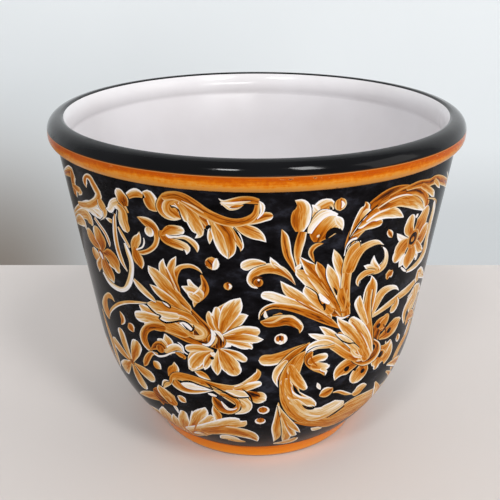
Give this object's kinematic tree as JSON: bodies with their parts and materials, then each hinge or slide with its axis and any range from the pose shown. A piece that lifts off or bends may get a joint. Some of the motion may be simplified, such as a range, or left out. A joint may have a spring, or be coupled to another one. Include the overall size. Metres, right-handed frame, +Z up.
{
  "type": "cachepot",
  "caption": "Round tapered glazed cachepot with a thick rolled rim, a rounded bowl and a short foot ring, painted with leafy scrolls.",
  "frame": {"origin": "centre of the foot ring's underside, on the pot's axis", "axes": "+Z up along the pot's axis, -Y towards the side that the picture shows"},
  "size_m": [0.26, 0.26, 0.2185],
  "materials": {
    "clay": "bare fired earthenware, matt and slightly rough",
    "white_glaze": "glossy white tin glaze with a faint lilac tone",
    "black_glaze": "glossy black glaze",
    "orange_stripe_glaze": "glossy brushed orange and ochre glaze",
    "painted_glaze": "glossy blue-black ground with orange, ochre and cream ornament edged in white",
    "orange_foot_glaze": "glossy orange glaze"
  },
  "bodies": {
    "root": {"clay_body": "clay", "inside_glaze": "white_glaze", "rim_glaze": "black_glaze", "rim_stripe_glaze": "orange_stripe_glaze", "wall_glaze": "painted_glaze", "foot_glaze": "orange_foot_glaze"}
  },
  "joints": []
}
